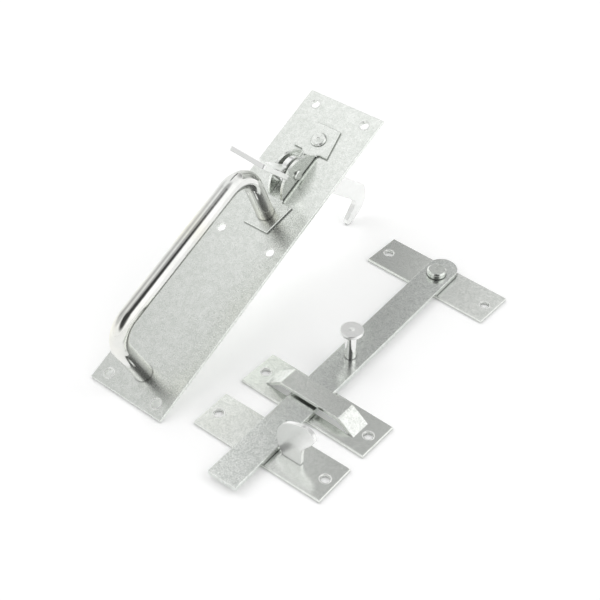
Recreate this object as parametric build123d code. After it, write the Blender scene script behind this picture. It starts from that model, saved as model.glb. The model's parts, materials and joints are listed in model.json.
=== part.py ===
from build123d import *

import math
import os

# Suffolk latch set: a handle plate with its grip and thumb lever, and a bar with its three plates.
# Millimetres, +Z up. The origin is on the floor under the bar's pivot, the bar runs towards -Y, and the
# handle plate stands on its lower edge and on the lever's tail beyond -X. Every piece is modelled in the
# frame of its own plate and then placed, and is written to parts/ under its own name.

# Small plates of the bar side: strip cut to length past its two screw holes, laid on the floor
STRIP_W = 25.0
STRIP_HOLE_PITCH = 68.0
STRIP_HOLE_IN = 6.0
STRIP_L = STRIP_HOLE_PITCH + 2 * STRIP_HOLE_IN
PLATE_T = 2.0
SCREW_HOLE_D = 5.0
SHEARED_EDGE = 0.3

# Where each small plate lies: centre on the floor and its turn about Z
PIVOT_PLATE_AT = (0.0, 0.0, -3.5)
KEEPER_AT = (4.07, -120.3, -2.45)
CATCH_AT = (3.36, -156.5, -0.8)

# Latch bar
BAR_W = 17.5
BAR_T = 3.0
BAR_BELOW_PIVOT = 189.7
BAR_OVER_PIVOT = 15.1
BAR_UNDER_GAP = 0.3
BAR_HOLE_D = 6.2

# Pivot rivet: the bar turns on its shank, the foot is closed flush under the plate
PIVOT_SHANK_D = 6.0
PIVOT_HEAD_D = 11.0
PIVOT_HEAD_H = 3.4
PIVOT_HEAD_BEVEL = 0.8
PIVOT_TOP_GAP = 0.3
PIVOT_MARK_D = 2.4
RIVET_MARK = 0.2
RIVET_SEAT = 0.02

# Lift knob riveted through the bar
KNOB_FROM_PIVOT = 84.6
KNOB_STEM_D = 6.3
KNOB_HEAD_D = 12.6
KNOB_HEAD_T = 1.7
KNOB_UNDER_CONE = 0.8
KNOB_CROWN_BEVEL = 0.4
KNOB_H = 19.5
KNOB_SPIGOT_D = 4.5
KNOB_DIMPLE_D = 3.0
KNOB_DIMPLE = 0.5

# Keeper: the strap is lanced and pressed up out of its own plate
STRAP_W = 12.0
STRAP_ROOT = 29.0
STRAP_FOLD = 19.5
STRAP_RISE = 7.0
STRAP_BEND_R = 1.0

# Catch: a hook cut from plate, tenoned through the catch plate and leaning back
HOOK_T = 2.4
HOOK_X = 13.6
HOOK_LEAN = 10.0
HOOK_NECK_W = 11.9
HOOK_H = 22.8
HOOK_NOSE_LEFT = 10.4
HOOK_NOSE_RIGHT = 11.6
TENON_W = 8.0

# Handle plate, stood on its lower edge and on the tip of the lever's tail. Its length follows from what it
# carries, one after the other up its middle
HANDLE_W = 50.0
HANDLE_FOOT_AT = (-75.22, -177.51, 0.0)
HANDLE_TURN = -1.3
HANDLE_HOLE_X = 17.0
LOW_HOLES_IN = 6.5
MIDDLE_HOLES_UNDER_GRIP = 18.0
HIGH_HOLES_IN = 7.3
PLATE_OVER_BRACKET = 17.4

# Grip: one round rod with two bends, shouldered at both feet. Its upper leg leans up the plate a little
GRIP_D = 10.0
GRIP_LOW_Y = 16.3
GRIP_PITCH = 107.7
GRIP_REACH = 44.7
GRIP_LOW_BEND_R = 14.0
GRIP_HIGH_BEND_R = 15.0
GRIP_HIGH_LEAN = 3.0
GRIP_TURN = -0.5
GRIP_SPIGOT_D = 7.0

# Lever bracket, one pressing: two tapered tabs lie on the plate, the lower one under the grip's foot, and
# between them two crescent ears are folded up beside the lever and carry its pin
BRACKET_T = 1.5
TAB_ROOT_W = 22.6
TAB_END_W = 16.4
LOW_TAB_UNDER_GRIP = 9.6
HIGH_TAB_L = 19.4
EAR_OUTSIDE = 10.2
EAR_FOLD_R = 2.2
EAR_HALF_L = 15.7
EAR_CREST_H = 14.3
TAB_FROM_EARS = 1.4
TAB_RELIEF_R = 1.2
BRACKET_RIVET_D = 5.0
BRACKET_RIVET_HEAD_D = 9.0
BRACKET_RIVET_HEAD_H = 1.3

# Lever pin across the ears
PIN_OVER_GRIP = 26.5
PIN_H = 7.0
PIN_D = 4.0
PIN_HEAD_D = 6.0
PIN_HEAD_T = 1.2
PIN_END_T = 0.8
PIN_RUNNING = 0.08

# Thumb lever: the tail stands in the plane of the plate's length, the pad is turned across it
LEVER_T = 3.0
LEVER_HUB_R = 8.6
LEVER_UNDER_PIN = 4.7
TAIL_ANGLE = 25.5
TAIL_REACH = 76.0
TAIL_END_UNDER = 3.8
TAIL_END_OVER = 7.2
FINGER_DROP = 12.8
FINGER_R = 2.6
FINGER_OUT = 10.1
FINGER_OUTSIDE = 7.0
FINGER_INSIDE_R = 3.0
FINGER_TAPER = math.radians(25.0)
PAD_W = 24.0
PAD_L = 27.0
PAD_T = 2.6
PAD_LEAN = 22.5
PAD_TURN = 3.5
PAD_CORNER_R = 1.5
PAD_FROM_PIN = (-9.6, 15.6)
NECK_W = 12.0
NECK_DEPTH = 8.6
NECK_FROM_PIN = (-5.0, 5.6)
SLOT_W = 4.2
SLOT_UNDER_PIN = 6.6
SLOT_OVER_PIN = 14.4


def placed(at, solid):
    """Put a piece from its own plate's frame onto the floor at (x, y, turn)."""
    x, y, turn = at
    return Pos(x, y, 0) * Rot(0, 0, turn) * solid


def screw_hole(x, y):
    """The cutter of one punched screw hole."""
    return Pos(x, y, PLATE_T / 2) * Cylinder(SCREW_HOLE_D / 2, PLATE_T * 2)


def strip_plate(width, length):
    """A sheared plate lying along X, its upper edges eased."""
    plate = Pos(0, 0, PLATE_T / 2) * Box(length, width, PLATE_T)
    return chamfer(plate.faces().sort_by(Axis.Z)[-1].edges(), SHEARED_EDGE)


def small_plate():
    """One strip plate of the bar side with its two screw holes."""
    plate = strip_plate(STRIP_W, STRIP_L)
    for side in (-1, 1):
        plate -= screw_hole(side * STRIP_HOLE_PITCH / 2, 0)
    return plate


def rivet_head(diameter, height, bevel, mark_d):
    """A flat-topped rivet head standing on z = 0 with a small centre mark."""
    head = Pos(0, 0, height / 2) * Cylinder(diameter / 2, height)
    head = chamfer(head.edges().sort_by(Axis.Z)[-1:], bevel)
    return head - Pos(0, 0, height) * Cylinder(mark_d / 2, RIVET_MARK * 2)


def shank_hole(x, y, shank_d, thickness):
    """The cutter of a hole that a rivet's shank or a spigot fills, through a sheet standing on z = 0."""
    return Pos(x, y, thickness / 2) * Cylinder(shank_d / 2 + RIVET_SEAT, thickness * 2)


def make_pivot_plate():
    return placed(PIVOT_PLATE_AT, small_plate() - shank_hole(0, 0, PIVOT_SHANK_D, PLATE_T))


BAR_BOTTOM = PLATE_T + BAR_UNDER_GAP
BAR_TOP = BAR_BOTTOM + BAR_T


def make_latch_bar():
    round_y = BAR_OVER_PIVOT - BAR_W / 2
    flat_l = BAR_BELOW_PIVOT + round_y
    outline = Pos(0, round_y - flat_l / 2) * Rectangle(BAR_W, flat_l) + Pos(0, round_y) * Circle(BAR_W / 2)
    bar = extrude(outline, BAR_T)
    bar = chamfer(bar.faces().sort_by(Axis.Z)[-1].edges(), SHEARED_EDGE)
    bar -= Pos(0, 0, BAR_T / 2) * Cylinder(BAR_HOLE_D / 2, BAR_T * 2)
    bar -= shank_hole(0, -KNOB_FROM_PIVOT, KNOB_SPIGOT_D, BAR_T)
    return Pos(0, 0, BAR_BOTTOM) * bar


def make_pivot_rivet():
    head_z = BAR_TOP + PIVOT_TOP_GAP
    shank = Pos(0, 0, head_z / 2) * Cylinder(PIVOT_SHANK_D / 2, head_z)
    return shank + Pos(0, 0, head_z) * rivet_head(PIVOT_HEAD_D, PIVOT_HEAD_H, PIVOT_HEAD_BEVEL, PIVOT_MARK_D)


def make_lift_knob():
    """Turned in one: spigot, stem and a disc head with a shallow centre mark."""
    rim_z = KNOB_H - KNOB_HEAD_T
    profile = Polygon(
        (0, -BAR_T),
        (KNOB_SPIGOT_D / 2, -BAR_T),
        (KNOB_SPIGOT_D / 2, 0),
        (KNOB_STEM_D / 2, 0),
        (KNOB_STEM_D / 2, rim_z - KNOB_UNDER_CONE),
        (KNOB_HEAD_D / 2, rim_z),
        (KNOB_HEAD_D / 2, KNOB_H - KNOB_CROWN_BEVEL),
        (KNOB_HEAD_D / 2 - KNOB_CROWN_BEVEL, KNOB_H),
        (KNOB_DIMPLE_D / 2, KNOB_H),
        (0, KNOB_H - KNOB_DIMPLE),
        align=None,
    )
    return Pos(0, -KNOB_FROM_PIVOT, BAR_TOP) * revolve(Plane.XZ * profile, Axis.Z)


def strap_outline():
    """The strap's section along its length: the pressed sheet keeps its thickness round the folds."""
    slope = math.atan2(STRAP_RISE, STRAP_ROOT - STRAP_FOLD)
    run = PLATE_T / math.tan(slope)
    leg_shift = PLATE_T / math.sin(slope)
    fold_in = PLATE_T * math.tan(slope / 2)
    root = STRAP_ROOT + run
    top = PLATE_T + STRAP_RISE
    half = [
        (root, 0),
        (STRAP_FOLD, top),
        (STRAP_FOLD - fold_in, top - PLATE_T),
        (root - leg_shift, 0),
    ]
    outer = [half[0], half[1]]
    inner = [half[2], half[3]]
    mirrored = [(-x, z) for x, z in reversed(outer)]
    mirrored_inner = [(-x, z) for x, z in reversed(inner)]
    sketch = Polygon(*outer, *mirrored, *mirrored_inner, *inner, align=None)
    folds = sketch.vertices().filter_by(lambda v: v.Y > top - 0.01)
    sketch = fillet(folds, STRAP_BEND_R + PLATE_T)
    under = sketch.vertices().filter_by(lambda v: abs(v.Y - top + PLATE_T) < 0.01)
    return fillet(under, STRAP_BEND_R)


def make_keeper_plate():
    plate = small_plate()
    plate -= Pos(0, 0, PLATE_T / 2) * Box(STRAP_ROOT * 2, STRAP_W, PLATE_T * 2)
    strap = extrude(Plane.XZ * strap_outline(), STRAP_W / 2, both=True)
    return placed(KEEPER_AT, plate + strap)


def hook_outline():
    """The hook's cut outline: x across the plate from the neck's middle, y up from the plate's face."""
    neck = HOOK_NECK_W / 2
    with BuildSketch() as sketch:
        with BuildLine():
            Polyline((-neck + 1.2, -1.0), (-neck + 0.7, 0.6))
            Spline(
                (-neck + 0.7, 0.6),
                (-HOOK_NOSE_LEFT + 2.6, 3.9),
                (-HOOK_NOSE_LEFT, 0.47 * HOOK_H),
                (-HOOK_NOSE_LEFT + 3.0, 0.8 * HOOK_H),
                (-0.3, HOOK_H - 0.9),
                (4.5, HOOK_H),
                (HOOK_NOSE_RIGHT - 1.6, HOOK_H - 1.4),
                (HOOK_NOSE_RIGHT, 0.78 * HOOK_H),
            )
            Spline(
                (HOOK_NOSE_RIGHT, 0.78 * HOOK_H),
                (HOOK_NOSE_RIGHT - 3.3, 0.56 * HOOK_H),
                (neck - 0.2, 0.4 * HOOK_H),
                (neck - 0.3, 0.2 * HOOK_H),
                (neck, -1.0),
            )
            Line((neck, -1.0), (-neck + 1.2, -1.0))
        make_face()
    return sketch.sketch


def make_catch_hook():
    blade = Rot(-HOOK_LEAN, 0, 0) * extrude(Plane.XZ * hook_outline(), HOOK_T / 2, both=True)
    above = Pos(0, 0, HOOK_H) * Box(HOOK_H * 3, HOOK_H * 3, HOOK_H * 2)
    tenon = Pos(0, 0, -PLATE_T / 2) * Box(TENON_W, HOOK_T, PLATE_T)
    hook = Pos(HOOK_X, 0, PLATE_T) * ((blade & above) + tenon)
    return placed(CATCH_AT, hook)


def make_catch_plate():
    slot = Pos(HOOK_X, 0, PLATE_T / 2) * Box(TENON_W + 2 * RIVET_SEAT, HOOK_T + 2 * RIVET_SEAT, PLATE_T * 2)
    return placed(CATCH_AT, small_plate() - slot)


# Places up the handle plate, each from the one below it
GRIP_HIGH_X = -GRIP_PITCH * math.sin(math.radians(GRIP_TURN))
GRIP_HIGH_Y = GRIP_LOW_Y + GRIP_PITCH * math.cos(math.radians(GRIP_TURN))
PIN_Y = GRIP_HIGH_Y + PIN_OVER_GRIP
EAR_LOW_Y = PIN_Y - EAR_HALF_L
EAR_HIGH_Y = PIN_Y + EAR_HALF_L
LOW_TAB_L = EAR_LOW_Y - GRIP_HIGH_Y + LOW_TAB_UNDER_GRIP
BRACKET_RIVET_Y = EAR_HIGH_Y + HIGH_TAB_L / 2
HANDLE_L = EAR_HIGH_Y + HIGH_TAB_L + PLATE_OVER_BRACKET
HANDLE_HOLE_YS = (LOW_HOLES_IN, GRIP_HIGH_Y - MIDDLE_HOLES_UNDER_GRIP, HANDLE_L - HIGH_HOLES_IN)
BRACKET_TOP = PLATE_T + BRACKET_T

# The tail's round tip, from the pin along the tail and across it
TIP_D = TAIL_REACH + FINGER_OUT
TIP_C = -TAIL_END_UNDER - FINGER_DROP


def tail_point(along, across):
    """A point of the tail's own axes, from the pin, in the handle plate's (y, h) section."""
    turn = math.radians(TAIL_ANGLE)
    y = PIN_Y + along * math.sin(turn) + across * math.cos(turn)
    h = PIN_H - along * math.cos(turn) + across * math.sin(turn)
    return y, h


def handle_tilt():
    """Degrees that the handle plate leans up when the round tip of the tail rests on the floor."""
    y, h = tail_point(TIP_D, TIP_C)
    reach = math.hypot(y, h)
    return math.degrees(math.atan2(-h, y) + math.asin(FINGER_R / reach))


def on_handle(solid):
    """Put a piece from the handle plate's frame (x, y up the plate, z off its back) into the set."""
    return Pos(*HANDLE_FOOT_AT) * Rot(0, 0, HANDLE_TURN) * Rot(handle_tilt(), 0, 0) * solid


def lever_slot(height):
    """The slot that the lever's tail passes through, cut to the given height off the plate's back."""
    length = SLOT_UNDER_PIN + SLOT_OVER_PIN
    return Pos(0, PIN_Y - SLOT_UNDER_PIN + length / 2, height / 2) * Box(SLOT_W, length, height * 2)


def make_handle_plate():
    plate = Pos(0, HANDLE_L / 2, 0) * Rot(0, 0, 90) * strip_plate(HANDLE_W, HANDLE_L)
    for y in HANDLE_HOLE_YS:
        for side in (-1, 1):
            plate -= screw_hole(side * HANDLE_HOLE_X, y)
    for x, y in ((0, GRIP_LOW_Y), (GRIP_HIGH_X, GRIP_HIGH_Y)):
        plate -= shank_hole(x, y, GRIP_SPIGOT_D, PLATE_T)
    plate -= shank_hole(0, BRACKET_RIVET_Y, BRACKET_RIVET_D, PLATE_T)
    return on_handle(plate - lever_slot(PLATE_T))


def make_grip():
    """The rod swept along its centre line, its feet cut off square on what they stand on, with spigots."""
    lean = GRIP_REACH * math.tan(math.radians(GRIP_HIGH_LEAN))
    corners = [(0, 0), (0, GRIP_REACH), (GRIP_PITCH + lean, GRIP_REACH), (GRIP_PITCH, 0)]
    path = Plane.YZ * FilletPolyline(*corners, radius=[GRIP_LOW_BEND_R, GRIP_HIGH_BEND_R])
    rod = sweep(Circle(GRIP_D / 2), path=path)
    for y, face in ((0, PLATE_T), (GRIP_PITCH, BRACKET_TOP)):
        rod -= Pos(0, y, face - GRIP_D / 2) * Box(GRIP_D * 3, GRIP_D * 3, GRIP_D)
        rod += Pos(0, y, face / 2) * Cylinder(GRIP_SPIGOT_D / 2, face)
    return on_handle(Pos(0, GRIP_LOW_Y, 0) * Rot(0, 0, GRIP_TURN) * rod)


def bracket_tab(length, shift=0.0):
    """A tapered tab of the bracket, from the ears' end at y = 0: a short neck, then wide and tapering."""
    neck = EAR_OUTSIDE / 2
    root = TAB_ROOT_W / 2
    end = TAB_END_W / 2
    wide = Polygon(
        (shift - root, TAB_FROM_EARS),
        (shift + root, TAB_FROM_EARS),
        (shift + end, length),
        (shift - end, length),
        align=None,
    )
    outline = wide + Pos(0, TAB_FROM_EARS) * Rectangle(EAR_OUTSIDE, TAB_FROM_EARS * 2)
    beside_neck = outline.vertices().filter_by(lambda corner: abs(abs(corner.X) - neck) < 0.01)
    tab = extrude(fillet(beside_neck.filter_by(lambda corner: corner.Y > 0.01), TAB_RELIEF_R), BRACKET_T)
    long_edges = tab.faces().sort_by(Axis.Z)[-1].edges().filter_by(lambda edge: edge.length > 2.0)
    return chamfer(long_edges.sort_by(Axis.Y)[1:], SHEARED_EDGE)


def ear_outline():
    """Web and ear seen from the side, in the handle plate's (y, h) section: a crescent over the pin."""
    half = EAR_HALF_L
    with BuildSketch() as sketch:
        with BuildLine():
            Line((-half, PLATE_T), (half, PLATE_T))
            Line((half, PLATE_T), (half, BRACKET_TOP))
            Spline(
                (half, BRACKET_TOP),
                (0.64 * half, PLATE_T + 0.64 * EAR_CREST_H),
                (-0.08 * half, PLATE_T + EAR_CREST_H),
                (-0.58 * half, PLATE_T + 0.8 * EAR_CREST_H),
                (-half, BRACKET_TOP),
            )
            Line((-half, BRACKET_TOP), (-half, PLATE_T))
        make_face()
    return Pos(PIN_Y, 0) * sketch.sketch


def folded_channel():
    """The web with both ears folded up along its sides, before the ears get their outline."""
    tall = EAR_CREST_H + EAR_FOLD_R
    inside_r = EAR_FOLD_R - BRACKET_T
    outer = Pos(0, tall / 2) * Rectangle(EAR_OUTSIDE, tall)
    outer = fillet(outer.vertices().sort_by(Axis.Y)[:2], EAR_FOLD_R)
    inner = Pos(0, BRACKET_T + tall / 2) * Rectangle(EAR_OUTSIDE - 2 * BRACKET_T, tall)
    inner = fillet(inner.vertices().sort_by(Axis.Y)[:2], inside_r)
    return Pos(0, PIN_Y, PLATE_T) * extrude(Plane.XZ * (outer - inner), EAR_HALF_L, both=True)


def make_lever_bracket():
    """Tabs, web and ears of one sheet."""
    ears = folded_channel() & extrude(Plane.YZ * ear_outline(), EAR_OUTSIDE, both=True)
    low_tab = Rot(0, 0, 180) * bracket_tab(LOW_TAB_L, -GRIP_HIGH_X)
    bracket = ears + Pos(0, EAR_LOW_Y, PLATE_T) * low_tab
    bracket += Pos(0, EAR_HIGH_Y, PLATE_T) * bracket_tab(HIGH_TAB_L)
    bracket -= Pos(0, PIN_Y, PIN_H) * Rot(0, 90, 0) * Cylinder(PIN_D / 2 + RIVET_SEAT, EAR_OUTSIDE * 2)
    bracket -= shank_hole(0, BRACKET_RIVET_Y, BRACKET_RIVET_D, BRACKET_TOP)
    bracket -= shank_hole(GRIP_HIGH_X, GRIP_HIGH_Y, GRIP_SPIGOT_D, BRACKET_TOP)
    return on_handle(bracket - lever_slot(BRACKET_TOP))


def make_bracket_rivet():
    shank = Pos(0, 0, BRACKET_TOP / 2) * Cylinder(BRACKET_RIVET_D / 2, BRACKET_TOP)
    head = Pos(0, 0, BRACKET_TOP) * rivet_head(BRACKET_RIVET_HEAD_D, BRACKET_RIVET_HEAD_H, 0.8, 1.6)
    return on_handle(Pos(0, BRACKET_RIVET_Y, 0) * (shank + head))


def make_lever_pin():
    half = EAR_OUTSIDE / 2
    shank = Cylinder(PIN_D / 2, EAR_OUTSIDE)
    head = Pos(0, 0, half + PIN_HEAD_T / 2) * Cylinder(PIN_HEAD_D / 2, PIN_HEAD_T)
    head = chamfer(head.edges().sort_by(Axis.Z)[-1:], 0.4)
    closed = Pos(0, 0, -half - PIN_END_T / 2) * Cylinder(PIN_D / 2 + 0.6, PIN_END_T)
    closed = chamfer(closed.edges().sort_by(Axis.Z)[:1], 0.3)
    return on_handle(Pos(0, PIN_Y, PIN_H) * Rot(0, 90, 0) * (shank + head + closed))


def tail_outline():
    """Hub, arm and turned-up finger, drawn along the tail with the pin at the origin."""
    inside_x = TIP_D - FINGER_R
    arm_end = (inside_x - FINGER_INSIDE_R, -TAIL_END_UNDER)
    inside_top = (inside_x, -TAIL_END_UNDER - FINGER_INSIDE_R)
    finger_in = (inside_x, TIP_C)
    rise = (math.sin(FINGER_TAPER), math.cos(FINGER_TAPER))
    finger_out = (TIP_D + FINGER_R * rise[1], TIP_C - FINGER_R * rise[0])
    outside_top = (finger_out[0] + FINGER_OUTSIDE * rise[0], finger_out[1] + FINGER_OUTSIDE * rise[1])
    shoulder = (TAIL_REACH, TAIL_END_OVER)
    with BuildSketch() as sketch:
        with BuildLine():
            Line((0, -LEVER_UNDER_PIN), arm_end)
            RadiusArc(arm_end, inside_top, FINGER_INSIDE_R)
            Line(inside_top, finger_in)
            ThreePointArc(finger_in, (TIP_D, TIP_C - FINGER_R), finger_out)
            Line(finger_out, outside_top)
            TangentArc(outside_top, shoulder, tangent=rise)
            Line(shoulder, (0, LEVER_HUB_R))
            RadiusArc((0, LEVER_HUB_R), (-LEVER_HUB_R, 0), -LEVER_HUB_R)
            hub_under = (-0.65 * LEVER_HUB_R, -0.8 * LEVER_UNDER_PIN)
            ThreePointArc((-LEVER_HUB_R, 0), hub_under, (0, -LEVER_UNDER_PIN))
        make_face()
    return sketch.sketch


def make_thumb_lever():
    """Tail and hub in one flat, a neck that turns a quarter and the thumb pad across its end."""
    turned = Pos(PIN_Y, PIN_H) * Rot(0, 0, TAIL_ANGLE - 90) * tail_outline()
    lever = extrude(Plane.YZ * turned, LEVER_T / 2, both=True)
    lean = math.radians(PAD_LEAN)
    pad_y = PIN_Y + PAD_FROM_PIN[0]
    pad_h = PIN_H + PAD_FROM_PIN[1]
    pad_plane = Plane((0, pad_y, pad_h), x_dir=(1, 0, 0), z_dir=(0, -math.cos(lean), -math.sin(lean)))
    pad_outline = Pos(0, PAD_L / 2) * RectangleRounded(PAD_W, PAD_L, PAD_CORNER_R)
    pad = pad_plane * (Rot(0, -PAD_TURN, 0) * extrude(pad_outline, PAD_T / 2, both=True))
    edge_plane = Plane((0, pad_y, pad_h), x_dir=(1, 0, 0), z_dir=(0, -math.sin(lean), math.cos(lean)))
    neck_y = PIN_Y + NECK_FROM_PIN[0]
    neck_h = PIN_H + NECK_FROM_PIN[1]
    hub_plane = Plane((0, neck_y, neck_h), x_dir=(1, 0, 0), z_dir=(0, -0.5, 0.86))
    pad_edge = edge_plane.offset(1.0) * (Rot(0, 0, -PAD_TURN) * Rectangle(NECK_W, PAD_T))
    neck = loft([hub_plane * Rectangle(LEVER_T, NECK_DEPTH), pad_edge])
    lever = lever + neck + pad
    lever -= Pos(0, PIN_Y, PIN_H) * Rot(0, 90, 0) * Cylinder(PIN_D / 2 + PIN_RUNNING, LEVER_T * 2)
    return on_handle(lever)


PIECES = {
    "handle_plate": make_handle_plate,
    "grip": make_grip,
    "lever_bracket": make_lever_bracket,
    "bracket_rivet": make_bracket_rivet,
    "lever_pin": make_lever_pin,
    "thumb_lever": make_thumb_lever,
    "pivot_plate": make_pivot_plate,
    "pivot_rivet": make_pivot_rivet,
    "latch_bar": make_latch_bar,
    "lift_knob": make_lift_knob,
    "keeper_plate": make_keeper_plate,
    "catch_plate": make_catch_plate,
    "catch_hook": make_catch_hook,
}

os.makedirs("parts", exist_ok=True)
for name, make in PIECES.items():
    piece = make()
    export_step(piece, f"parts/{name}.step")
    box = piece.bounding_box()
    solids = len(piece.solids())
    print(f"{name}: volume {piece.volume:.1f} mm3, solids {solids}, z {box.min.Z:.2f} to {box.max.Z:.2f}")
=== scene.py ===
import json
import logging
import math
from dataclasses import dataclass, field
from enum import Enum
from typing import Sequence

import bpy
from mathutils import Matrix, Vector

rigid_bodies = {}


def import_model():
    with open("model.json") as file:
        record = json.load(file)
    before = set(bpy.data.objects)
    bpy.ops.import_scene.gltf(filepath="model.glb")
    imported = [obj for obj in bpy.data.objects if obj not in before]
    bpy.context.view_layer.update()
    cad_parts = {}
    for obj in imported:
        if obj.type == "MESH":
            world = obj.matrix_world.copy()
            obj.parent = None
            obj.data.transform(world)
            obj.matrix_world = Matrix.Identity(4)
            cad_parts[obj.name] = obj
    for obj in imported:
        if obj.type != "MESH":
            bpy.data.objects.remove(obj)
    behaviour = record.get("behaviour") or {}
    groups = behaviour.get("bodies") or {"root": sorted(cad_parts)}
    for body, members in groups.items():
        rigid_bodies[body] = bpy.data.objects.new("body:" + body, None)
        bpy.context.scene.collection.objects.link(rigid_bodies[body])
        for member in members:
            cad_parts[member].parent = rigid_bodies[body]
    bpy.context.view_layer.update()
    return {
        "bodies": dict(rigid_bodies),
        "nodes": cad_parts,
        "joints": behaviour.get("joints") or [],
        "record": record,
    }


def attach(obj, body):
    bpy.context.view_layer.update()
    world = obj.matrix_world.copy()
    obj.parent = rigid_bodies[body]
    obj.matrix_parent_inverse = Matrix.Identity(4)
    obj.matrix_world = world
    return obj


log = logging.getLogger("suffolk_latch")

FLOAT = "NodeSocketFloat"
VECTOR = "NodeSocketVector"

Colour = tuple[float, float, float]
Point = tuple[float, float, float]
Ends = tuple[float, float]
Node = bpy.types.Node
Socket = bpy.types.NodeSocket
Tree = bpy.types.NodeTree
Value = Socket | float


class Surface(Enum):
    """The finishes that the latch's pieces have."""

    SHEET = "zinc on sheet"
    STRIP = "zinc on the small plates"
    BAR = "zinc on drawn bar"
    ROUND = "bright zinc on round rod"
    RIVET = "zinc on a rivet"
    CUT = "bright zinc on cut plate"
    TURNED = "satin zinc on the turned knob"
    LIP = "burnished lip of a hole"


CadNodes = dict[str, bpy.types.Object]
Palette = dict[Surface, bpy.types.Material]


def opaque(colour: Colour) -> tuple[float, float, float, float]:
    """The colour as a socket takes it, with full alpha."""
    return (*colour, 1.0)


def grey(level: float) -> tuple[float, float, float, float]:
    """An opaque grey of the given level."""
    return opaque((level, level, level))


def new_group(
    name: str,
    inputs: Sequence[tuple[str, str, float | None]],
    outputs: Sequence[tuple[str, str]],
) -> tuple[Tree, Node, Node]:
    """Make a shader node group with named sockets and nothing between them yet.

    Args:
        name: The group's name.
        inputs: Name, socket type and default of each input, or None where every user sets or links it.
        outputs: Name and socket type of each output.

    Returns:
        The node tree, its Group Input and its Group Output.
    """
    tree = bpy.data.node_groups.new(name, "ShaderNodeTree")
    for label, kind, value in inputs:
        socket = tree.interface.new_socket(name=label, in_out="INPUT", socket_type=kind)
        if value is not None:
            socket.default_value = value
    for label, kind in outputs:
        tree.interface.new_socket(name=label, in_out="OUTPUT", socket_type=kind)
    return tree, tree.nodes.new("NodeGroupInput"), tree.nodes.new("NodeGroupOutput")


def effect_node(tree: Tree, group: Tree, place: Socket | None = None) -> Node:
    """Put a shared group into a material.

    Args:
        tree: The material's tree.
        group: The group.
        place: The coordinates that the group reads, if it reads any.

    Returns:
        The group's node.
    """
    node = tree.nodes.new("ShaderNodeGroup")
    node.node_tree = group
    if place is not None:
        tree.links.new(place, node.inputs["Vector"])
    return node


def feed(tree: Tree, socket: Socket, value: Value | Sequence[float]) -> None:
    """Give an input its value.

    Args:
        tree: The tree that the input is in.
        socket: The input.
        value: A socket to link to it, or a number, vector or colour to set on it.
    """
    if isinstance(value, Socket):
        tree.links.new(value, socket)
    else:
        socket.default_value = value


def math_node(
    tree: Tree,
    operation: str,
    first: Value,
    second: Value | None = None,
    clamp: bool = False,
) -> Socket:
    """Add a Math node.

    Args:
        tree: The tree to add it to.
        operation: Blender's name of the operation.
        first: A socket or a number.
        second: A second socket or number, if the operation takes one.
        clamp: Whether the result is held between 0 and 1.

    Returns:
        The node's output.
    """
    node = tree.nodes.new("ShaderNodeMath")
    node.operation = operation
    node.use_clamp = clamp
    feed(tree, node.inputs[0], first)
    if second is not None:
        feed(tree, node.inputs[1], second)
    return node.outputs[0]


def weighed(tree: Tree, first: Socket, second: Socket, share: float, clamp: bool = False) -> Socket:
    """Add two values up, the first by its share and the second by what the share leaves.

    Args:
        tree: The tree to work in.
        first: The first value.
        second: The second value.
        share: The first value's share, from 0 to 1.
        clamp: Whether the sum is held between 0 and 1.

    Returns:
        The sum.
    """
    part = math_node(tree, "MULTIPLY", first, share)
    rest = math_node(tree, "MULTIPLY", second, 1.0 - share)
    return math_node(tree, "ADD", part, rest, clamp)


def dot_product(tree: Tree, first: Socket, second: Socket | Sequence[float]) -> Socket:
    """Add a dot product.

    Args:
        tree: The tree to add it to.
        first: A vector socket.
        second: Another one, or a fixed vector.

    Returns:
        The product.
    """
    node = tree.nodes.new("ShaderNodeVectorMath")
    node.operation = "DOT_PRODUCT"
    feed(tree, node.inputs[0], first)
    feed(tree, node.inputs[1], second)
    return node.outputs["Value"]


def noise(tree: Tree, place: Socket, scale: Value, detail: float, rough: float) -> Socket:
    """Add a Noise Texture node.

    Args:
        tree: The tree to add it to.
        place: The coordinates that it reads.
        scale: A socket or a number.
        detail: How many finer layers it has.
        rough: How strong the finer layers are.

    Returns:
        The noise's value.
    """
    node = tree.nodes.new("ShaderNodeTexNoise")
    node.inputs["Detail"].default_value = detail
    node.inputs["Roughness"].default_value = rough
    feed(tree, node.inputs["Vector"], place)
    feed(tree, node.inputs["Scale"], scale)
    return node.outputs["Fac"]


def spread(tree: Tree, value: Socket, ends: Ends) -> Socket:
    """Stretch a value over the range from 0 to 1, with soft ends.

    Args:
        tree: The tree to work in.
        value: The value to stretch.
        ends: What becomes 0 and what becomes 1.

    Returns:
        The stretched value.
    """
    node = tree.nodes.new("ShaderNodeMapRange")
    node.interpolation_type = "SMOOTHSTEP"
    feed(tree, node.inputs["Value"], value)
    node.inputs["From Min"].default_value, node.inputs["From Max"].default_value = ends
    return node.outputs["Result"]


def mix_colours(tree: Tree, share: Value, low: Value | Sequence[float], high: Sequence[float]) -> Socket:
    """Add a Mix node for colours.

    Args:
        tree: The tree to add it to.
        share: How much of the high colour there is, from 0 to 1.
        low: A colour socket or a colour with alpha.
        high: A colour with alpha.

    Returns:
        The mixed colour.
    """
    node = tree.nodes.new("ShaderNodeMix")
    node.data_type = "RGBA"
    feed(tree, node.inputs["Factor"], share)
    feed(tree, node.inputs["A"], low)
    feed(tree, node.inputs["B"], high)
    return node.outputs["Result"]


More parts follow.
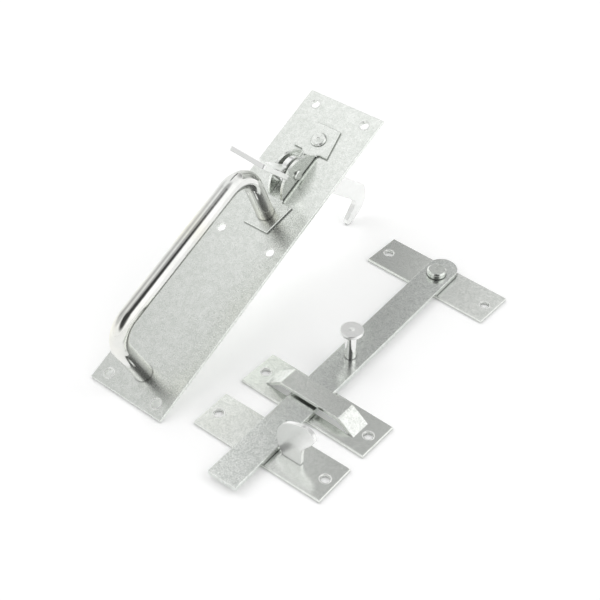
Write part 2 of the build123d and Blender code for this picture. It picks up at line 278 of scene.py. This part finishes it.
class PlatingEffects:
    """The shader node groups that every plated finish shares.

    Ends are the values that become 0 and 1 in a mask, and sizes are in metres.
    """

    cloud_detail: float = 3.0
    cloud_rough: float = 0.55
    cloud_ends: Ends = (0.34, 0.66)
    cloud_height: float = 0.15
    grain_detail: float = 2.5
    grain_rough: float = 0.65
    grain_ends: Ends = (0.30, 0.70)
    crystal_share: float = 0.6
    scuff_stretches: tuple[Point, ...] = ((900.0, 30.0, 200.0), (60.0, 1100.0, 200.0))
    scuff_turn: float = 0.4
    scuff_turn_apart: float = 0.35
    scuff_detail: float = 1.0
    scuff_rough: float = 0.5
    scuff_ends: Ends = (0.70, 0.78)
    # How far edges are shaded as rounded, and the ends of the mask of the painted highlight on them
    edge_radius: float = 0.0004
    edge_samples: int = 6
    edge_ends: Ends = (0.99, 0.80)
    # How far the painted shade in crevices and at contacts reaches, and the ends of its mask
    painted_shade_reach: float = 0.0015
    painted_shade_samples: int = 8
    painted_shade_ends: Ends = (0.95, 0.35)

    def __init__(self) -> None:
        """Build the groups once."""
        self.mottle = self._mottle()
        self.scuffs = self._scuffs()
        self.edges = self._edges()

    def _mottle(self) -> Tree:
        """The cloudy, fine-grained look of zinc.

        Returns:
            A group that puts out cloud and grain from 0 to 1, and a height.
        """
        tree, start, end = new_group(
            "zinc_mottle",
            [("Vector", VECTOR, None), ("Cloud Scale", FLOAT, None), ("Grain Scale", FLOAT, None)],
            [("Cloud", FLOAT), ("Grain", FLOAT), ("Height", FLOAT)],
        )
        place = start.outputs["Vector"]
        grain_scale = start.outputs["Grain Scale"]
        cloud = noise(tree, place, start.outputs["Cloud Scale"], self.cloud_detail, self.cloud_rough)
        grain = noise(tree, place, grain_scale, self.grain_detail, self.grain_rough)
        crystals = tree.nodes.new("ShaderNodeTexVoronoi")
        tree.links.new(place, crystals.inputs["Vector"])
        tree.links.new(grain_scale, crystals.inputs["Scale"])
        crystal = tree.nodes.new("ShaderNodeSeparateColor")
        tree.links.new(crystals.outputs["Color"], crystal.inputs["Color"])
        soft_grain = spread(tree, grain, self.grain_ends)
        speckle = weighed(tree, crystal.outputs["Red"], soft_grain, self.crystal_share)
        tree.links.new(spread(tree, cloud, self.cloud_ends), end.inputs["Cloud"])
        tree.links.new(speckle, end.inputs["Grain"])
        tree.links.new(weighed(tree, cloud, grain, self.cloud_height), end.inputs["Height"])
        return tree

    def _scuffs(self) -> Tree:
        """Faint handling scratches: thin streaks in two directions.

        Returns:
            A group that puts out a mask from 0 to 1.
        """
        tree, start, end = new_group(
            "handling_scuffs",
            [("Vector", VECTOR, None), ("Turn", FLOAT, self.scuff_turn)],
            [("Mask", FLOAT)],
        )
        masks = []
        for index, stretch in enumerate(self.scuff_stretches):
            turn = tree.nodes.new("ShaderNodeVectorRotate")
            turn.rotation_type = "Z_AXIS"
            tree.links.new(start.outputs["Vector"], turn.inputs["Vector"])
            angle = math_node(tree, "ADD", start.outputs["Turn"], self.scuff_turn_apart * index)
            tree.links.new(angle, turn.inputs["Angle"])
            stretched = tree.nodes.new("ShaderNodeVectorMath")
            stretched.operation = "MULTIPLY"
            stretched.inputs[1].default_value = stretch
            tree.links.new(turn.outputs["Vector"], stretched.inputs[0])
            streak = noise(tree, stretched.outputs["Vector"], 1.0, self.scuff_detail, self.scuff_rough)
            masks.append(spread(tree, streak, self.scuff_ends))
        tree.links.new(math_node(tree, "MAXIMUM", *masks), end.inputs["Mask"])
        return tree

    def _edges(self) -> Tree:
        """Edges shaded as rounded, with masks for a painted highlight on them and for painted shade in
        crevices and at contacts.

        Returns:
            A group that puts out a normal and two masks from 0 to 1.
        """
        tree, start, end = new_group(
            "rounded_edges_painted_highlight_and_shade",
            [("Radius", FLOAT, self.edge_radius), ("Reach", FLOAT, self.painted_shade_reach)],
            [("Normal", VECTOR), ("Painted Highlight", FLOAT), ("Painted Shade", FLOAT)],
        )
        rounded = tree.nodes.new("ShaderNodeBevel")
        rounded.samples = self.edge_samples
        tree.links.new(start.outputs["Radius"], rounded.inputs["Radius"])
        # The bend between the rounded and the flat normal masks the painted highlight on edges
        flat = tree.nodes.new("ShaderNodeNewGeometry")
        bend = dot_product(tree, rounded.outputs["Normal"], flat.outputs["True Normal"])
        # Ambient occlusion over a short reach masks the painted shade in crevices and at contacts
        occlusion = tree.nodes.new("ShaderNodeAmbientOcclusion")
        occlusion.samples = self.painted_shade_samples
        tree.links.new(start.outputs["Reach"], occlusion.inputs["Distance"])
        tree.links.new(rounded.outputs["Normal"], end.inputs["Normal"])
        tree.links.new(spread(tree, bend, self.edge_ends), end.inputs["Painted Highlight"])
        tree.links.new(spread(tree, occlusion.outputs["AO"], self.painted_shade_ends), end.inputs["Painted Shade"])
        return tree


@dataclass(frozen=True)
class PlatedFinish:
    """One zinc finish: two close tones, how rough each is and how the grain stands.

    Shares run from 0 to 1, scales are per metre, and bright_below is the height in metres under which a
    piece is smoother by bright_share.
    """

    name: str
    light: Colour
    dark: Colour
    rough_light: float
    rough_dark: float
    cloud_scale: float
    grain_scale: float
    grain_share: float
    bump: float
    bump_height: float = 0.0002
    scuff: float = 0.0
    metal: float = 1.0
    # The colour and share of a painted highlight on the edges, then of painted shade in crevices and at
    # contacts
    edge_highlight_colour: Colour = (0.98, 0.98, 0.97)
    edge_highlight_share: float = 0.35
    crevice_painted_shade: Colour = (0.05, 0.05, 0.05)
    crevice_painted_shade_share: float = 0.55
    tint: Colour = (0.9, 0.86, 0.68)
    tint_share: float = 0.0
    tint_scale: float = 27.0
    tint_detail: float = 2.0
    tint_rough: float = 0.5
    tint_ends: Ends = (0.45, 0.72)
    bright_below: float = 0.0
    bright_share: float = 0.35

    def material(self, effects: PlatingEffects) -> bpy.types.Material:
        """Make the material.

        Args:
            effects: The shared shader groups.

        Returns:
            A node material that reads Object coordinates.
        """
        made = bpy.data.materials.new(self.name)
        made.use_nodes = True
        tree = made.node_tree
        shader = tree.nodes["Principled BSDF"]
        shader.inputs["Metallic"].default_value = self.metal
        place = tree.nodes.new("ShaderNodeTexCoord").outputs["Object"]
        mottle = effect_node(tree, effects.mottle, place)
        mottle.inputs["Cloud Scale"].default_value = self.cloud_scale
        mottle.inputs["Grain Scale"].default_value = self.grain_scale
        edges = effect_node(tree, effects.edges)
        tone = weighed(tree, mottle.outputs["Grain"], mottle.outputs["Cloud"], self.grain_share, clamp=True)
        tree.links.new(self._colour(tree, place, tone, edges), shader.inputs["Base Color"])
        tree.links.new(self._roughness(tree, place, tone, effects), shader.inputs["Roughness"])
        tree.links.new(self._normal(tree, mottle, edges), shader.inputs["Normal"])
        return made

    def _colour(self, tree: Tree, place: Socket, tone: Socket, edges: Node) -> Socket:
        """The two tones, warm patches if there are any, a painted highlight on the edges and painted shade in
        crevices.

        Args:
            tree: The material's tree.
            place: The Object coordinates.
            tone: The grain and cloud, from 0 to 1.
            edges: The node of the group with the masks of the painted highlight and the painted shade.

        Returns:
            The colour.
        """
        colour = mix_colours(tree, tone, opaque(self.dark), opaque(self.light))
        if self.tint_share > 0.0:
            patches = noise(tree, place, self.tint_scale, self.tint_detail, self.tint_rough)
            warm = math_node(tree, "MULTIPLY", spread(tree, patches, self.tint_ends), self.tint_share)
            colour = mix_colours(tree, warm, colour, opaque(self.tint))
        # A painted highlight on the edges, then painted shade in crevices and at contacts
        for mask, shade, share in (
            ("Painted Highlight", self.edge_highlight_colour, self.edge_highlight_share),
            ("Painted Shade", self.crevice_painted_shade, self.crevice_painted_shade_share),
        ):
            strength = math_node(tree, "MULTIPLY", edges.outputs[mask], share)
            colour = mix_colours(tree, strength, colour, opaque(shade))
        return colour

    def _roughness(self, tree: Tree, place: Socket, tone: Socket, effects: PlatingEffects) -> Socket:
        """The roughness of the two tones, with scuffs and a smoother lower part where the piece has them.

        Args:
            tree: The material's tree.
            place: The Object coordinates.
            tone: The grain and cloud, from 0 to 1.
            effects: The shared shader groups.

        Returns:
            The roughness.
        """
        between = tree.nodes.new("ShaderNodeMapRange")
        between.inputs["To Min"].default_value = self.rough_dark
        between.inputs["To Max"].default_value = self.rough_light
        tree.links.new(tone, between.inputs["Value"])
        rough = between.outputs["Result"]
        if self.scuff > 0.0:
            scuffs = effect_node(tree, effects.scuffs, place)
            streaks = math_node(tree, "MULTIPLY", scuffs.outputs["Mask"], self.scuff)
            rough = math_node(tree, "ADD", rough, streaks)
        if self.bright_below > 0.0:
            height = tree.nodes.new("ShaderNodeSeparateXYZ")
            tree.links.new(place, height.inputs["Vector"])
            above = math_node(tree, "GREATER_THAN", height.outputs["Z"], self.bright_below)
            gain = math_node(tree, "MULTIPLY", above, 1.0 - self.bright_share)
            rough = math_node(tree, "MULTIPLY", rough, math_node(tree, "ADD", gain, self.bright_share))
        return rough

    def _normal(self, tree: Tree, mottle: Node, edges: Node) -> Socket:
        """The fine grain as a bump on the rounded edges.

        Args:
            tree: The material's tree.
            mottle: The node of the mottle's group.
            edges: The node of the edges' group.

        Returns:
            The normal.
        """
        bump = tree.nodes.new("ShaderNodeBump")
        bump.inputs["Strength"].default_value = self.bump
        bump.inputs["Distance"].default_value = self.bump_height
        tree.links.new(mottle.outputs["Height"], bump.inputs["Height"])
        tree.links.new(edges.outputs["Normal"], bump.inputs["Normal"])
        return bump.outputs["Normal"]


# Where a finish sets its edge share, that is how strong the painted highlight on its edges is
FINISHES: dict[Surface, PlatedFinish] = {
    Surface.SHEET: PlatedFinish(
        name="zinc_sheet", light=(0.98, 1.0, 0.97), dark=(0.73, 0.765, 0.72),
        rough_light=0.24, rough_dark=0.30, cloud_scale=300.0, grain_scale=1400.0, grain_share=0.72,
        bump=0.1, scuff=0.02, edge_highlight_share=0.6,
    ),
    Surface.STRIP: PlatedFinish(
        name="zinc_strip", light=(0.985, 1.0, 0.97), dark=(0.73, 0.76, 0.72),
        rough_light=0.215, rough_dark=0.265, cloud_scale=300.0, grain_scale=1400.0, grain_share=0.8,
        bump=0.08, scuff=0.02, edge_highlight_share=0.5,
    ),
    Surface.BAR: PlatedFinish(
        name="zinc_bar", light=(0.96, 0.98, 0.955), dark=(0.58, 0.61, 0.58),
        rough_light=0.225, rough_dark=0.275, cloud_scale=300.0, grain_scale=1500.0, grain_share=0.85,
        bump=0.1, scuff=0.02,
    ),
    Surface.ROUND: PlatedFinish(
        name="bright_round", light=(0.87, 0.87, 0.85), dark=(0.74, 0.75, 0.73),
        rough_light=0.04, rough_dark=0.09, cloud_scale=60.0, grain_scale=500.0, grain_share=0.3,
        bump=0.08, scuff=0.10, tint_share=0.35,
    ),
    Surface.RIVET: PlatedFinish(
        name="zinc_rivet", light=(0.96, 0.98, 0.95), dark=(0.66, 0.69, 0.65),
        rough_light=0.16, rough_dark=0.28, cloud_scale=200.0, grain_scale=1500.0, grain_share=0.5,
        bump=0.08, scuff=0.03,
    ),
    Surface.TURNED: PlatedFinish(
        name="zinc_turned", light=(0.95, 0.95, 0.94), dark=(0.86, 0.87, 0.85),
        rough_light=0.30, rough_dark=0.42, cloud_scale=300.0, grain_scale=1500.0, grain_share=0.5,
        bump=0.2, scuff=0.04, bright_below=0.0215,
    ),
    Surface.CUT: PlatedFinish(
        name="zinc_cut_plate", light=(0.99, 0.995, 0.985), dark=(0.93, 0.94, 0.925),
        rough_light=0.12, rough_dark=0.20, cloud_scale=300.0, grain_scale=1400.0, grain_share=0.5,
        bump=0.12, scuff=0.05, metal=0.6,
    ),
    Surface.LIP: PlatedFinish(
        name="zinc_lip", light=(0.96, 0.97, 0.95), dark=(0.88, 0.90, 0.87),
        rough_light=0.18, rough_dark=0.26, cloud_scale=300.0, grain_scale=1500.0, grain_share=0.4,
        bump=0.1, metal=0.6,
    ),
}


@dataclass(frozen=True)
class Lay:
    """How a plate lies in the set: where its own origin is, its turn and its lean, in metres and degrees."""

    at: Point
    turn: float
    lean: float = 0.0

    def matrix(self) -> Matrix:
        """The plate's frame in the set's frame."""
        turn = Matrix.Rotation(math.radians(self.turn), 4, "Z")
        return Matrix.Translation(self.at) @ turn @ Matrix.Rotation(math.radians(self.lean), 4, "X")


@dataclass
class PunchedLips:
    """The smooth bright lips that punching leaves round a plate's screw holes, one small ring for each.

    A lip's round section has the radius lip_r. Its middle runs outside the hole's edge by outward, and its
    top stands over the plate by proud. All are in metres.
    """

    hole_r: float = 0.0025
    lip_r: float = 0.0006
    outward: float = 0.0005
    proud: float = 0.0001
    ring_points: int = 64
    section_points: int = 16

    def node_tree(self) -> bpy.types.GeometryNodeTree:
        """Rings on points: a circle swept with a round section, turned to the plate and realized.

        Returns:
            The Geometry Nodes tree, with named inputs for its sizes, turn and material.
        """
        tree = bpy.data.node_groups.new("punched_lips", "GeometryNodeTree")
        for label, kind in (
            ("Geometry", "NodeSocketGeometry"),
            ("Ring Radius", FLOAT),
            ("Lip Radius", FLOAT),
            ("Rotation", "NodeSocketRotation"),
            ("Material", "NodeSocketMaterial"),
        ):
            tree.interface.new_socket(name=label, in_out="INPUT", socket_type=kind)
        tree.interface.new_socket(name="Geometry", in_out="OUTPUT", socket_type="NodeSocketGeometry")
        start = tree.nodes.new("NodeGroupInput")
        end = tree.nodes.new("NodeGroupOutput")
        ring = tree.nodes.new("GeometryNodeCurvePrimitiveCircle")
        ring.inputs["Resolution"].default_value = self.ring_points
        section = tree.nodes.new("GeometryNodeCurvePrimitiveCircle")
        section.inputs["Resolution"].default_value = self.section_points
        sweep = tree.nodes.new("GeometryNodeCurveToMesh")
        place = tree.nodes.new("GeometryNodeInstanceOnPoints")
        real = tree.nodes.new("GeometryNodeRealizeInstances")
        smooth = tree.nodes.new("GeometryNodeSetShadeSmooth")
        coat = tree.nodes.new("GeometryNodeSetMaterial")
        link = tree.links.new
        link(start.outputs["Ring Radius"], ring.inputs["Radius"])
        link(start.outputs["Lip Radius"], section.inputs["Radius"])
        link(ring.outputs["Curve"], sweep.inputs["Curve"])
        link(section.outputs["Curve"], sweep.inputs["Profile Curve"])
        link(start.outputs["Geometry"], place.inputs["Points"])
        link(sweep.outputs["Mesh"], place.inputs["Instance"])
        link(start.outputs["Rotation"], place.inputs["Rotation"])
        link(place.outputs["Instances"], real.inputs["Geometry"])
        link(real.outputs["Geometry"], smooth.inputs["Geometry"])
        link(smooth.outputs["Geometry"], coat.inputs["Geometry"])
        link(start.outputs["Material"], coat.inputs["Material"])
        link(coat.outputs["Geometry"], end.inputs["Geometry"])
        return tree

    def build(
        self,
        tree: bpy.types.GeometryNodeTree,
        name: str,
        lay: Lay,
        holes: Sequence[tuple[float, float]],
        thickness: float,
        material: bpy.types.Material,
    ) -> bpy.types.Object:
        """Make the lips of one plate.

        Args:
            tree: The Geometry Nodes tree that places the rings.
            name: The new piece's name.
            lay: How the plate lies.
            holes: The holes' centres in the plate's frame.
            thickness: The plate's thickness.
            material: The rings' finish.

        Returns:
            A plain mesh object with its modifier already applied.
        """
        frame = lay.matrix()
        height = thickness + self.proud - self.lip_r
        points = bpy.data.meshes.new(name + "_points")
        points.from_pydata([frame @ Vector((x, y, height)) for x, y in holes], [], [])
        piece = bpy.data.objects.new(name, points)
        bpy.context.scene.collection.objects.link(piece)
        maker = piece.modifiers.new("lips", "NODES")
        maker.node_group = tree
        sockets = {item.name: item.identifier for item in tree.interface.items_tree if item.in_out == "INPUT"}
        maker[sockets["Ring Radius"]] = self.hole_r + self.outward
        maker[sockets["Lip Radius"]] = self.lip_r
        maker[sockets["Rotation"]] = frame.to_euler()
        maker[sockets["Material"]] = material
        bpy.context.view_layer.update()
        solved = piece.evaluated_get(bpy.context.evaluated_depsgraph_get())
        rings = bpy.data.meshes.new_from_object(solved)
        piece.modifiers.remove(maker)
        piece.data = rings
        rings.name = name
        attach(piece, "fixed_set")
        log.info("%s: %d holes, %d faces", name, len(holes), len(rings.polygons))
        return piece


@dataclass
class LatchSide:
    """One side of the latch: the surface of each CAD node, how its plates lie and where their holes are."""

    finishes: dict[str, Surface]
    lays: dict[str, Lay]
    hole_xs: tuple[float, ...]
    hole_ys: tuple[float, ...]
    plate_t: float = 0.002

    def holes(self) -> list[tuple[float, float]]:
        """The screw holes' centres in the frame of each plate."""
        return [(x, y) for y in self.hole_ys for x in self.hole_xs]

    def dress(self, nodes: CadNodes, palette: Palette) -> None:
        """Give each node its finish.

        Args:
            nodes: The frame's CAD nodes by name.
            palette: The materials by surface.
        """
        for name, surface in self.finishes.items():
            materials = nodes[name].data.materials
            materials.clear()
            materials.append(palette[surface])
            log.info("%s: %s", name, surface.value)

    def add_lips(self, lips: PunchedLips, tree: bpy.types.GeometryNodeTree, palette: Palette) -> None:
        """Make the lips of every plate on this side.

        Args:
            lips: The lips' sizes and maker.
            tree: The Geometry Nodes tree that places the rings.
            palette: The materials by surface.
        """
        for name, lay in self.lays.items():
            lips.build(tree, name + "_lips", lay, self.holes(), self.plate_t, palette[Surface.LIP])


@dataclass
class HandleSide(LatchSide):
    """The handle plate and all that it carries, which lean on the lever's tail."""

    finishes: dict[str, Surface] = field(
        default_factory=lambda: {
            "handle_plate": Surface.SHEET,
            "grip": Surface.ROUND,
            "lever_bracket": Surface.SHEET,
            "bracket_rivet": Surface.RIVET,
            "lever_pin": Surface.RIVET,
            "thumb_lever": Surface.CUT,
        }
    )
    # The lean is the one at which the plate's lower edge and the tip of the lever's tail both touch the floor
    lays: dict[str, Lay] = field(
        default_factory=lambda: {"handle_plate": Lay((-0.07522, -0.17751, 0.0), -1.3, 25.0693)}
    )
    hole_xs: tuple[float, ...] = (-0.017, 0.017)
    hole_ys: tuple[float, ...] = (0.0065, 0.105996, 0.195696)


@dataclass
class BarSide(LatchSide):
    """The bar, its pivot plate, the keeper and the catch, which lie on the floor."""

    finishes: dict[str, Surface] = field(
        default_factory=lambda: {
            "pivot_plate": Surface.STRIP,
            "pivot_rivet": Surface.RIVET,
            "latch_bar": Surface.BAR,
            "lift_knob": Surface.TURNED,
            "keeper_plate": Surface.STRIP,
            "catch_plate": Surface.STRIP,
            "catch_hook": Surface.CUT,
        }
    )
    lays: dict[str, Lay] = field(
        default_factory=lambda: {
            "pivot_plate": Lay((0.0, 0.0, 0.0), -3.5),
            "keeper_plate": Lay((0.00407, -0.1203, 0.0), -2.45),
            "catch_plate": Lay((0.00336, -0.1565, 0.0), -0.8),
        }
    )
    hole_xs: tuple[float, ...] = (-0.034, 0.034)
    hole_ys: tuple[float, ...] = (0.0,)


@dataclass(frozen=True)
class TentPatch:
    """A soft round patch of the light tent that is darker or lighter than the rest.

    It lies towards a direction, has its full change within one angle and none beyond another, in degrees.
    """

    towards: Point
    full: float
    none: float
    change: float

    def mask(self, tree: Tree, way: Socket) -> Socket:
        """Where the patch is.

        Args:
            tree: The world's tree.
            way: The direction that the tent is looked at in.

        Returns:
            A mask from 0 to 1.
        """
        facing = dot_product(tree, way, Vector(self.towards).normalized())
        return spread(tree, facing, (math.cos(math.radians(self.none)), math.cos(math.radians(self.full))))


@dataclass(frozen=True)
class TentGap:
    """A narrow dark gap in the tent: the part of an upright band that lies in a round patch.

    The band's azimuth is in degrees from the y axis towards the x axis. Its half widths are the sines of
    the angles at which the gap ends and at which it is full.
    """

    azimuth: float = -33.0
    none_off: float = 0.105
    full_off: float = 0.02
    patch: TentPatch = TentPatch((-0.40, 0.57, 0.72), 18.0, 34.0, -0.965)

    def mask(self, tree: Tree, way: Socket) -> Socket:
        """Where the gap is.

        Args:
            tree: The world's tree.
            way: The direction that the tent is looked at in.

        Returns:
            A mask from 0 to 1.
        """
        azimuth = math.radians(self.azimuth)
        across = dot_product(tree, way, (math.cos(azimuth), -math.sin(azimuth), 0.0))
        band = spread(tree, math_node(tree, "ABSOLUTE", across), (self.none_off, self.full_off))
        return math_node(tree, "MULTIPLY", self.patch.mask(tree, way), band)


@dataclass(frozen=True)
class Softbox:
    """A large soft lamp: its name, place, width and watts."""

    name: str
    at: Point
    width: float
    watts: float

    def build(self, aim_at: Point) -> None:
        """Make the lamp, which no piece mirrors.

        Args:
            aim_at: The point that it faces.
        """
        lamp = bpy.data.lights.new(self.name, "AREA")
        lamp.size = self.width
        lamp.energy = self.watts
        box = bpy.data.objects.new(self.name, lamp)
        box.visible_glossy = False
        turn = (Vector(aim_at) - Vector(self.at)).to_track_quat("-Z", "Y").to_matrix().to_4x4()
        box.matrix_world = Matrix.Translation(self.at) @ turn
        bpy.context.scene.collection.objects.link(box)


@dataclass
class Studio:
    """The pale floor, the soft light and the camera, in metres and degrees."""

    camera_at: Point = (0.23809, -0.44562, 0.43655)
    looks_at: Point = (-0.05141, -0.06145, 0.0)
    roll: float = 0.82
    focal_px: float = 1149.0
    image_px: float = 600.0
    sensor_mm: float = 36.0
    nearest: float = 0.01
    farthest: float = 20.0
    floor_half: float = 3.0
    floor_rough: float = 0.9
    floor_lit: float = 0.85
    floor_seen: float = 1.0
    floor_lift: float = 0.15
    floor_mirrored_lift: float = 0.18
    backdrop_seen: float = 1.0
    tent: float = 1.06
    tent_least: float = 0.06
    patches: tuple[TentPatch, ...] = (
        # The tent's open front, with the camera in it
        TentPatch((0.44, -0.60, 0.66), 17.0, 36.0, -0.985),
        # The opening overhead
        TentPatch((0.26, -0.26, 0.93), 14.0, 34.0, -0.57),
        # Two shaded places on the left wall
        TentPatch((-0.62, -0.45, 0.64), 12.0, 34.0, -0.40),
        TentPatch((-0.84, -0.07, 0.54), 10.0, 26.0, -0.23),
        # The shaded back wall
        TentPatch((0.08, 0.92, 0.38), 16.0, 36.0, -0.66),
        # The lit right wall
        TentPatch((0.90, 0.00, 0.43), 15.0, 45.0, 0.19),
    )
    gap: TentGap = TentGap()
    softboxes: tuple[Softbox, ...] = (
        Softbox("left_softbox", (-0.9, -0.25, 0.9), 0.9, 3.0),
        Softbox("right_softbox", (0.8, 0.5, 1.0), 0.8, 2.0),
    )
    softboxes_face: Point = (-0.03, -0.08, 0.0)

    def build_floor(self) -> None:
        """A wide pale floor that takes the shadows, and is white where it is seen or mirrored."""
        half = self.floor_half
        mesh = bpy.data.meshes.new("studio_floor")
        corners = [(-half, -half, 0), (half, -half, 0), (half, half, 0), (-half, half, 0)]
        mesh.from_pydata(corners, [], [(0, 1, 2, 3)])
        floor = bpy.data.objects.new("studio_floor", mesh)
        bpy.context.scene.collection.objects.link(floor)
        made = bpy.data.materials.new("studio_floor")
        made.use_nodes = True
        tree = made.node_tree
        shader = tree.nodes["Principled BSDF"]
        shader.inputs["Roughness"].default_value = self.floor_rough
        shader.inputs["Specular IOR Level"].default_value = 0.0
        path = tree.nodes.new("ShaderNodeLightPath")
        seen = path.outputs["Is Camera Ray"]
        mirrored = path.outputs["Is Glossy Ray"]
        shown = math_node(tree, "MAXIMUM", seen, mirrored)
        colour = mix_colours(tree, shown, grey(self.floor_lit), grey(self.floor_seen))
        tree.links.new(colour, shader.inputs["Base Color"])
        shader.inputs["Emission Color"].default_value = grey(1.0)
        lift = math_node(tree, "MULTIPLY", seen, self.floor_lift)
        mirrored_lift = math_node(tree, "MULTIPLY", mirrored, self.floor_mirrored_lift)
        tree.links.new(math_node(tree, "ADD", lift, mirrored_lift), shader.inputs["Emission Strength"])
        mesh.materials.append(made)

    def build_world(self) -> None:
        """A white light tent with its patches and its gap, and a plain white backdrop behind the floor."""
        world = bpy.data.worlds.new("light_tent")
        bpy.context.scene.world = world
        world.use_nodes = True
        tree = world.node_tree
        back = tree.nodes["Background"]
        back.inputs["Color"].default_value = grey(1.0)
        way = tree.nodes.new("ShaderNodeTexCoord").outputs["Generated"]
        level = self.tent
        for patch in self.patches:
            change = math_node(tree, "MULTIPLY", patch.mask(tree, way), patch.change)
            level = math_node(tree, "ADD", change, level)
        gap = math_node(tree, "MULTIPLY", self.gap.mask(tree, way), self.gap.patch.change)
        level = math_node(tree, "ADD", gap, level)
        level = math_node(tree, "MAXIMUM", level, self.tent_least)
        path = tree.nodes.new("ShaderNodeLightPath")
        strength = tree.nodes.new("ShaderNodeMix")
        strength.data_type = "FLOAT"
        tree.links.new(path.outputs["Is Camera Ray"], strength.inputs["Factor"])
        tree.links.new(level, strength.inputs["A"])
        strength.inputs["B"].default_value = self.backdrop_seen
        tree.links.new(strength.outputs["Result"], back.inputs["Strength"])

    def build_lamps(self) -> None:
        """Two large soft lamps, over the left side and from the back right."""
        for softbox in self.softboxes:
            softbox.build(self.softboxes_face)

    def build_camera(self) -> None:
        """A camera where the photograph was taken from, for a 600 by 600 image."""
        data = bpy.data.cameras.new("photo_camera")
        data.sensor_width = self.sensor_mm
        data.lens = self.focal_px / self.image_px * self.sensor_mm
        data.clip_start = self.nearest
        data.clip_end = self.farthest
        camera = bpy.data.objects.new("photo_camera", data)
        ahead = (Vector(self.looks_at) - Vector(self.camera_at)).normalized()
        right = ahead.cross(Vector((0, 0, 1))).normalized()
        up = right.cross(ahead)
        roll = math.radians(self.roll)
        across = right * math.cos(roll) + up * math.sin(roll)
        above = up * math.cos(roll) - right * math.sin(roll)
        turn = Matrix((across, above, -ahead)).transposed().to_4x4()
        camera.matrix_world = Matrix.Translation(self.camera_at) @ turn
        bpy.context.scene.collection.objects.link(camera)
        bpy.context.scene.camera = camera

    def build(self) -> None:
        """Build the whole studio."""
        bpy.context.scene.view_settings.view_transform = "Standard"
        self.build_floor()
        self.build_world()
        self.build_lamps()
        self.build_camera()
        log.info("studio built")


def main() -> None:
    """Load the frame, dress its pieces, add the holes' lips and build the studio."""
    logging.basicConfig(level=logging.INFO, format="%(name)s: %(message)s")
    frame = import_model()
    effects = PlatingEffects()
    palette = {surface: finish.material(effects) for surface, finish in FINISHES.items()}
    sides = (HandleSide(), BarSide())
    for side in sides:
        side.dress(frame["nodes"], palette)
    lips = PunchedLips()
    lips_tree = lips.node_tree()
    for side in sides:
        side.add_lips(lips, lips_tree, palette)
    Studio().build()


if __name__ == "__main__":
    main()
